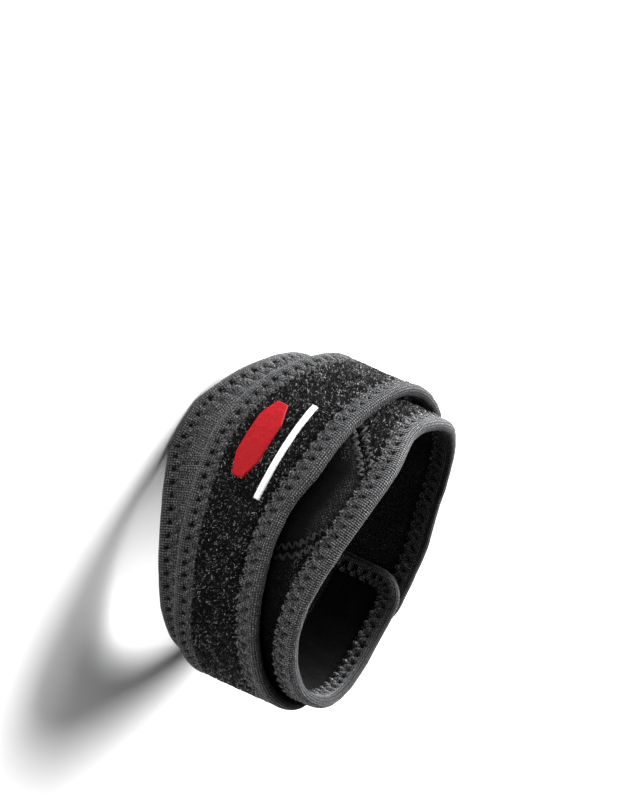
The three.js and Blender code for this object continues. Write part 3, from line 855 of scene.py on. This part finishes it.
def drawnInAt(ribbon, x, w, radius):  # the same for all of a band's holes, the tape's and the seams'
    pulled = drawnIn(needles[ribbon["name"]], x, w, radius)
    if ribbon is base:
        pulled = np.maximum(pulled, drawnIn(padHoles, x, w, crossSeams["holeReach"]))
    return pulled


needles = {"base": needlePlaces(base, baseOutline), "strap": needlePlaces(strap, strapOutline)}
padHoles = seamHoles()

# Foam bands, faced with knit on both sides

foam = {
    "step": 0.9, "inset": 0.9, "underTape": 1.6, "columns": {"base": 64, "strap": 24},
    "puff": 0.85, "innerPuff": 0.62, "bulge": 0.9, "wrinkle": 0.16, "pucker": 0.4, "puckerReach": 1.5,
}


def bandRows(ribbon, inset, start, end, radii, step):
    # turns along a piece and its inset edges there, narrowed at the two rounded ends
    scale = perDegree(ribbon)
    near, far = radii[0] / scale, radii[1] / scale
    count = max(int((end - start - near - far) * scale / step), 8)
    bend = np.radians(np.linspace(0, 90, 9)[:-1])
    first, last = start + near * (1 - np.cos(bend)), end - far * (1 - np.cos(bend))
    turns = np.concatenate([first, np.linspace(start + near, end - far, count), last[::-1]])
    cut = 1 - np.sin(bend)
    cuts = np.concatenate([radii[0] * cut, np.zeros(count), radii[1] * cut[::-1]])
    corner = cloth["corner"] / scale
    held = np.clip(turns, ribbon["start"] + corner, ribbon["end"] - corner)
    low, high = edgesAt(ribbon, held)
    before, after = edgesAt(ribbon, held - 1), edgesAt(ribbon, held + 1)
    low = low + inset * np.hypot(1, (after[0] - before[0]) / (2 * scale)) + cuts
    high = high - inset * np.hypot(1, (after[1] - before[1]) / (2 * scale)) - cuts
    return turns, low, high


def makeFoam(name, ribbon, node):
    scale, inset, radius = perDegree(ribbon), foam["inset"], cloth["corner"] - foam["inset"]
    start, end = ribbon["start"] + inset / scale, ribbon["end"] - inset / scale
    turns, low, high = bandRows(ribbon, inset, start, end, (radius, radius), foam["step"])
    shares = np.linspace(0, 1, foam["columns"][ribbon["name"]])[None, :]
    middle, hidden = (low + high) / 2, cloth["tapeFace"] - foam["underTape"]
    faceLow = np.minimum(low + hidden, middle - 0.4)[:, None]
    faceHigh = np.maximum(high - hidden, middle + 0.4)[:, None]
    w = np.concatenate([low[:, None], faceLow + (faceHigh - faceLow) * shares, high[:, None]], 1)
    turn = turns[:, None] + 0 * w
    x = turn * scale
    dome = np.clip(1 - np.abs(2 * np.concatenate([[0], shares[0], [1]]) - 1) ** 4, 0, 1)[None, :]
    pulled = drawnInAt(ribbon, x, w, foam["puckerReach"])
    wrinkle = foam["wrinkle"] * softNoise(x, w, 7.0, 3) + 0.1 * softNoise(x, w * 0.4, 3.4, 8)
    valley, outerRise = 0, 0 * w
    if ribbon is base:
        valley = seamValley(turn, w)
        lower, upper = seamTurn("lower", w), seamTurn("upper", w)
        bare = smooth(turn, lower, lower + 6) * (1 - smooth(turn, upper - 6, upper))
        beyond = w - edgesAt(strap, turn + 360)[1]
        puff = foam["puff"] + foam["bulge"] * smooth(beyond, 0.5, 6.0)
        creased = (wrinkle - foam["pucker"] * pulled) * dome**0.5 - valley
        outerRise = np.where(bare > 0, creased + puff * bare * dome, -valley * 0.6)
    innerPull = foam["pucker"] * 0.8 * pulled * dome**0.5
    innerRise = (foam["innerPuff"] + wrinkle * 0.8) * dome - innerPull - valley * 0.8
    outer = place(ribbon, turn, w, cloth["foamOuter"] + outerRise)
    inner = place(ribbon, turn, w, cloth["foamInner"] - innerRise)[:, ::-1]
    columns = w.shape[1]
    points = np.concatenate([outer, inner], 1)
    sideGap = [0, 0, 3]  # keeps the grain of the two faces apart
    spots = np.stack([x, w, 0 * x], -1)
    # painted shade in the puckers at the needle holes, in the valleys beside the cross seams, and on the
    # base beside the strap
    darker = np.clip(pulled * 1.2 + valley * 0.5, 0, 1) * 0.8
    if ribbon is base:
        darker = np.maximum(darker, shadeAndPressBesideStrap(turn, w))
    marks = {
        "clothPlace": np.concatenate([spots + sideGap, spots[:, ::-1]], 1).reshape(-1, 3),
        "deep": np.concatenate([darker, darker[:, ::-1]], 1).ravel(),
    }
    faces = gridFaces(len(turns), 2 * columns, roundColumns=True)
    j = np.arange(columns - 1)
    cap = np.column_stack([j, j + 1, 2 * columns - 2 - j, 2 * columns - 1 - j])
    last = (len(turns) - 1) * 2 * columns
    faces = np.concatenate([faces, cap, cap[:, ::-1] + last])
    piece = makePiece(name, points.reshape(-1, 3), faces[:, ::-1], knit, marks, node)


makeFoam("baseFoam", base, "base_panel")
makeFoam("strapFoam", strap, "strap_panel")

# Loop pile: a ground cloth laid on the foam, and fibres in small arches that stand on it

pileLook = {
    "inset": 6.6, "endInset": 7.4, "seamTurns": (171, 217), "cornerRadii": (4.8, 0.6),
    "tucked": 3.02, "rising": (0.6, 2.6), "step": 0.8, "columns": 26, "crowding": 0.05565,
    "unevenness": 0.1, "pucker": 0.45, "puckerReach": 1.3, "hidden": 3.0, "lapCorner": 14,
    "loopGap": 0.54, "loopSpan": 0.6, "loopHeight": 0.5, "loopWidth": 0.17, "flattened": 0.7,
}


def underStrap(turn, w):  # which places on the base are well hidden by the strap over them
    hidden, margin = np.zeros(turn.shape, bool), pileLook["hidden"]
    for over, low, high in strapOver(turn):
        inside = (over > strap["start"] + margin) & (over < strap["end"] - margin)
        hidden |= inside & (w > low + margin) & (w < high - 2 * margin)
    return hidden


def areaBetween(x, low, high):  # square metres of cloth between two edges
    width = (high - low)[1:] + (high - low)[:-1]
    return float(abs((np.diff(x) * width).sum())) / 2e6


def pileTop(ribbon, x, w, edgeGap):
    look = pileLook
    rising = smooth(edgeGap, look["inset"] + look["rising"][0], look["inset"] + look["rising"][1])
    flat = look["tucked"] + (cloth["pileTop"] - look["tucked"]) * rising
    pulled = look["pucker"] * drawnInAt(ribbon, x, w, look["puckerReach"])
    top = flat + look["unevenness"] * softNoise(x, w, 5.0, 17) * rising - pulled
    if ribbon is base:
        top = top - seamValley(x / perDegree(ribbon), w) * 0.8
    return top


def pileRegion(ribbon, ends, seam):  # rows of places over a pile sheet between its first and last turn
    free, sewn = pileLook["cornerRadii"]
    radii = (sewn if seam == "upper" else free, sewn if seam == "lower" else free)
    turns, low, high = bandRows(ribbon, pileLook["inset"], *ends, radii, pileLook["step"])
    if ribbon is base:
        low = low + widerFace(turns, low)
    shares = np.linspace(0, 1, pileLook["columns"])
    shares = shares - pileLook["crowding"] * np.sin(shares * 2 * math.pi)
    w = low[:, None] + (high - low)[:, None] * shares[None, :]
    return turns[:, None] + 0 * w, w, low, high


def makePile(name, ribbon, ends, seam, node, visible):
    scale = perDegree(ribbon)
    turn, w, low, high = pileRegion(ribbon, ends, seam)
    if seam == "lower":  # the end at the seam follows it
        turn = ends[0] + (turn - ends[0]) * (seamTurn("lower", w) - ends[0]) / (ends[1] - ends[0])
    if seam == "upper":
        turn = ends[1] - (ends[1] - turn) * (ends[1] - seamTurn("upper", w)) / (ends[1] - ends[0])
    x = turn * scale
    edgeGap = pileLook["inset"] + np.minimum(w - low[:, None], high[:, None] - w)
    endGap = np.minimum(turn - turn.min(0), turn.max(0) - turn) * scale
    top = pileTop(ribbon, x, w, np.minimum(edgeGap, pileLook["inset"] + endGap + (1.2 if seam else 0)))
    points = place(ribbon, turn, w, top)
    # painted shade on the ground cloth beside the strap
    strapShadeMark = shadeAndPressBesideStrap(turn, w) if ribbon is base else 0 * w
    marks, faces = placeMarks(x, w, deep=strapShadeMark.ravel()), gridFaces(*w.shape)[:, ::-1]
    sheet = makePiece(name, points.reshape(-1, 3), faces, pile, marks, node)
    area = areaBetween(turn[:, w.shape[1] // 2] * scale, w[:, 0], w[:, -1])
    loops = makeLoops(name + "Loops", ribbon, turn, w, low, high, visible)


def makeLoops(name, ribbon, gridTurn, gridW, low, high, visible):
    # one arch of fibre on each square of the ground cloth, none where another layer hides it
    look, scale, gap, clear = pileLook, perDegree(ribbon), pileLook["loopGap"], 0.9
    dice = np.random.default_rng(len(name) * 7 + 1)
    x0 = np.arange(gridTurn.min() * scale, gridTurn.max() * scale, gap)
    w0 = np.arange(gridW.min(), gridW.max(), gap)
    x, w = (grid.ravel() for grid in np.meshgrid(x0, w0))
    x, w = x + dice.uniform(-0.5, 0.5, x.shape) * gap, w + dice.uniform(-0.5, 0.5, w.shape) * gap
    turn = x / scale
    middleTurns, middleRow = gridTurn[:, gridW.shape[1] // 2], gridW[gridW.shape[0] // 2]
    lowHere = np.interp(turn, middleTurns, low) + clear
    highHere = np.interp(turn, middleTurns, high) - clear
    startHere = np.interp(w, middleRow, gridTurn.min(0)) + 0.8 / scale
    endHere = np.interp(w, middleRow, gridTurn.max(0)) - 0.8 / scale
    keep = (w > lowHere) & (w < highHere) & (turn > startHere) & (turn < endHere) & visible(turn, w)
    x, w, lowHere, highHere = x[keep], w[keep], lowHere[keep], highHere[keep]
    count = len(x)
    angle = dice.uniform(0, 2 * math.pi, count)
    span = look["loopSpan"] * dice.uniform(0.6, 1.3, count)
    # painted shade beside the strap, which also presses the loops lower there
    flattened = shadeAndPressBesideStrap(x / scale, w) if ribbon is base else 0 * x
    rise = look["loopHeight"] * dice.uniform(0.5, 1.25, count) * (1 - look["flattened"] * flattened)
    leanX, leanW = dice.normal(0, 0.16, (2, count))
    stepX, stepW = np.cos(angle) * span / 2, np.sin(angle) * span / 2
    edgeGap = look["inset"] + np.minimum(w - lowHere, highHere - w) + clear
    ground = pileTop(ribbon, x, w, edgeGap)
    arch = [(-1, -0.12, 0), (-0.55, 0.85, 0.8), (0.55, 0.85, 0.8), (1, -0.12, 0)]  # along, height and lean
    lines = np.stack([
        place(ribbon, (x + stepX * a + leanX * b) / scale, w + stepW * a + leanW * b, ground + rise * h)
        for a, h, b in arch], 1)
    outward = outwardAt(ribbon, x / scale, w, ground)[:, None, :]
    tangent = np.gradient(lines, axis=1)
    side = np.cross(tangent, outward + dice.normal(0, 0.5, (count, 1, 3)))
    side /= np.linalg.norm(side, axis=2, keepdims=True)
    half = side * (look["loopWidth"] / 2000) * dice.uniform(0.6, 1.3, (count, 1, 1))
    points = np.stack([lines - half, lines + half], 2).reshape(-1, 3)
    faces = repeated(gridFaces(4, 2), 8, count)
    shade = dice.uniform(0, 60, (count, 1, 1)) * np.ones((1, 8, 1))  # its own place in the fibres' grain
    spots = np.concatenate([shade, shade * 0 + x[:, None, None], shade * 0 + w[:, None, None]], 2)
    # the deep mark paints that shade on the fibres
    marks = {"clothPlace": spots.reshape(-1, 3), "deep": np.repeat(flattened, 8)}
    return makePiece(name, points, faces, fibre, marks)


def lapped(turn, w):  # the corner of the base's inner end, which its outer end lies over
    return (turn < pileLook["lapCorner"]) & (w < pileLook["lapCorner"])


def pileEnds(ribbon):
    gap = pileLook["endInset"] / perDegree(ribbon)
    return ribbon["start"] + gap, ribbon["end"] - gap


baseStart, baseEnd = pileEnds(base)
seamStart, seamEnd = pileLook["seamTurns"]
makePile("strapPile", strap, pileEnds(strap), None, "strap_pile",
         lambda turn, w: True)
makePile("basePileLower", base, (baseStart, seamStart), "lower", "base_pile_lower",
         lambda turn, w: ~underStrap(turn, w) & ~lapped(turn, w))
makePile("basePileUpper", base, (seamEnd, baseEnd), "upper", "base_pile_upper",
         lambda turn, w: ~underStrap(turn, w))

# Hook patch on the inner side of the strap's free end: a moulded sheet with rows of small hooks

hookLook = {
    "turns": (582, 648), "inset": 8.3, "corner": 4.0, "step": 1.5, "columns": 14, "sheetTop": 0.4,
    "rim": 0.2, "gap": 1.5, "clear": 0.8, "endClear": 2, "heights": (-20, 22),
    "height": 0.42, "radius": 0.12, "sides": 4,
    "bend": [(0, 0.05), (0, -0.5), (0.05, -0.9), (0.25, -1.0), (0.42, -0.75)],
}


def makeHooks():
    look, scale = hookLook, perDegree(strap)
    first, last = look["turns"]
    turns, low, high = bandRows(strap, look["inset"], first, last, (look["corner"],) * 2, look["step"])
    w = low[:, None] + (high - low)[:, None] * np.linspace(0, 1, look["columns"])[None, :]
    turn = turns[:, None] + 0 * w
    rim = np.zeros(w.shape)
    rim[:, [0, -1]] = rim[[0, -1], :] = look["rim"]
    points = place(strap, turn, w, look["sheetTop"] + rim)
    marks, faces = placeMarks(turn * scale, w), gridFaces(*w.shape)
    sheet = makePiece("hookPatch", points.reshape(-1, 3), faces, hook, marks, "hook_patch")
    x0 = np.arange(first * scale + look["endClear"], last * scale - look["endClear"], look["gap"])
    w0 = np.arange(*look["heights"], look["gap"])
    x, w = (grid.ravel() for grid in np.meshgrid(x0, w0))
    turn = x / scale
    lowHere, highHere = np.interp(turn, turns, low), np.interp(turn, turns, high)
    keep = (w > lowHere + look["clear"]) & (w < highHere - look["clear"])
    x, w = x[keep][:, None], w[keep][:, None]
    bend = np.array(look["bend"])
    turn = (x + bend[None, :, 0]) / scale
    t = look["sheetTop"] + bend[None, :, 1] * look["height"] + 0 * x
    lines = place(strap, turn, w + 0 * turn, t)
    outs = np.broadcast_to(outwardAt(strap, x / scale, w, 0 * w)[:, :1], lines.shape) + np.array([0, 0, 0.3])
    points, faces = tubes(lines, outs, look["radius"] / 1000, look["sides"])
    hooks = makePiece("hookRows", points, faces, hook, threadMarks(lines, look["sides"], 9))
    area = areaBetween(turns * scale, low, high)


makeHooks()

# Emblem: a plain pointed badge and a thin bar, pressed onto the pile

emblem = {
    "turn": 562, "inner": 3.9, "thickness": 0.62, "bevel": 0.45, "step": 0.3, "grain": 0.05, "waves": 0.06,
    "badge": {"length": 28, "width": 9, "across": -4, "point": 0.55},
    "bar": {"length": 36, "width": 2.4, "across": 5.6, "point": 0.0},
}


def makePlate(name, shape, material, node):
    scale = perDegree(strap)
    low, high = edgesAt(strap, np.array([emblem["turn"]]))
    middle = (low[0] + high[0]) / 2 + shape["across"]
    rows, columns = round(shape["length"] / emblem["step"]), max(round(shape["width"] / emblem["step"]), 8)
    share = np.linspace(-1, 1, rows)[:, None]
    side = np.linspace(-1, 1, columns)[None, :]
    half = shape["width"] / 2 * (1 - shape["point"] * np.maximum(np.abs(share) * 2 - 1, 0))
    x = emblem["turn"] * scale + share * shape["length"] / 2 + 0 * side
    w = middle + side * half
    inside = np.minimum((1 - np.abs(side)) * half, (1 - np.abs(share)) * shape["length"] / 2)
    edge = np.sqrt(np.clip(1 - (1 - np.clip(inside / emblem["bevel"], 0, 1)) ** 2, 0, 1))
    bumps = emblem["grain"] * softNoise(x, w, 0.9, 41) + emblem["waves"] * softNoise(x, w, 3.2, 43)
    t = emblem["inner"] + emblem["thickness"] * edge + bumps * edge
    points = place(strap, x / scale, w, t)
    marks, faces = placeMarks(x, w), gridFaces(rows, columns)[:, ::-1]
    makePiece(name, points.reshape(-1, 3), faces, material, marks, node)


makePlate("redBadge", emblem["badge"], red, "badge")
makePlate("whiteBar", emblem["bar"], white, "badge_bar")

# Floor, light and camera

view = {
    "elevation": 25, "roll": -25.5, "distance": 1000, "pixelsPerMm": 2.96, "photoSize": (640, 797),
    "originPixel": (304, 530.5),
}


def makeCamera():
    width, height = view["photoSize"]
    tilt, roll = math.radians(view["elevation"]), math.radians(view["roll"])
    toCamera = np.array([0, -math.cos(tilt), math.sin(tilt)])
    wallUp, sideways = np.array([0, math.sin(tilt), math.cos(tilt)]), np.array([1.0, 0, 0])
    photoRight = math.cos(roll) * wallUp + math.sin(roll) * sideways
    photoUp = math.sin(roll) * wallUp - math.cos(roll) * sideways
    offX = view["originPixel"][0] - width / 2
    offY = view["originPixel"][1] - height / 2
    target = (photoUp * offY - photoRight * offX) / view["pixelsPerMm"]
    spot = toCamera * view["distance"]
    forward = (target - spot) / np.linalg.norm(target - spot)
    right = np.cross(forward, photoUp)
    right /= np.linalg.norm(right)
    up = np.cross(right, forward)
    ends = toFloor(np.array([spot, spot + right, spot + up, spot - forward]), pressed=False)
    axes = ends[1:] - ends[0]
    data = bpy.data.cameras.new("camera")
    data.lens = view["pixelsPerMm"] * view["distance"] / height * data.sensor_width
    data.clip_start, data.clip_end = 0.05, 20
    camera = bpy.data.objects.new("camera", data)
    standAt(camera, axes.T, (ends[0] + shift) / 1000)
    bpy.context.scene.camera = camera


# Each light is its name, the azimuth from +X and the elevation it shines from, its size in m and its power
studio = {
    "reach": 4.0, "aim": (0, 0, 0.035), "world": 0.03,
    "floorColor": (0.86, 0.86, 0.86, 1), "floorReach": 6.0,
    "lights": [
        ("keyLight", 150, 29, 3.6, 790), ("softLight", 178, 27, 2.6, 150),
        ("frontFill", 292, 6, 1.2, 58), ("topLight", 190, 72, 2.6, 35),
    ],
}


def standAt(thing, axes, spot):  # puts a camera or a light there, with its axes as columns, and in the scene
    matrix = np.eye(4)
    matrix[:3, :3], matrix[:3, 3] = axes, spot
    thing.matrix_world = Matrix(matrix.tolist())
    bpy.context.scene.collection.objects.link(thing)


def areaLight(name, azimuth, elevation, size, power):
    data = bpy.data.lights.new(name, "AREA")
    data.shape, data.size, data.energy = "DISK", size, power
    light = bpy.data.objects.new(name, data)
    around, over = math.radians(azimuth), math.radians(elevation)
    level = math.cos(over)
    spot = studio["reach"] * np.array([level * math.cos(around), level * math.sin(around), math.sin(over)])
    aim = np.array(studio["aim"]) - spot
    back = -aim / np.linalg.norm(aim)
    right = np.cross([0, 0, 1], back)
    right /= np.linalg.norm(right)
    standAt(light, np.array([right, np.cross(back, right), back]).T, spot)


def makeStudio():
    floorMaterial = bpy.data.materials.new("paleFloor")
    floorMaterial.use_nodes = True
    tree = floorMaterial.node_tree
    wire(tree, tree.nodes["Principled BSDF"], {
        "Base Color": studio["floorColor"], "Roughness": 0.9, "Specular IOR Level": 0.1})
    mesh = bpy.data.meshes.new("floor")
    far = studio["floorReach"]
    mesh.from_pydata([(-far, -far, 0), (far, -far, 0), (far, far, 0), (-far, far, 0)], [], [(0, 1, 2, 3)])
    mesh.materials.append(floorMaterial)
    floor = bpy.data.objects.new("floor", mesh)
    bpy.context.scene.collection.objects.link(floor)
    world = bpy.data.worlds.new("studio")
    world.use_nodes = True
    wire(world.node_tree, world.node_tree.nodes["Background"], {0: (1, 1, 1, 1), 1: studio["world"]})
    bpy.context.scene.world = world
    bpy.context.scene.view_settings.view_transform = "Standard"
    for light in studio["lights"]:
        areaLight(*light)


makeCamera()
makeStudio()
print("camera and light set")
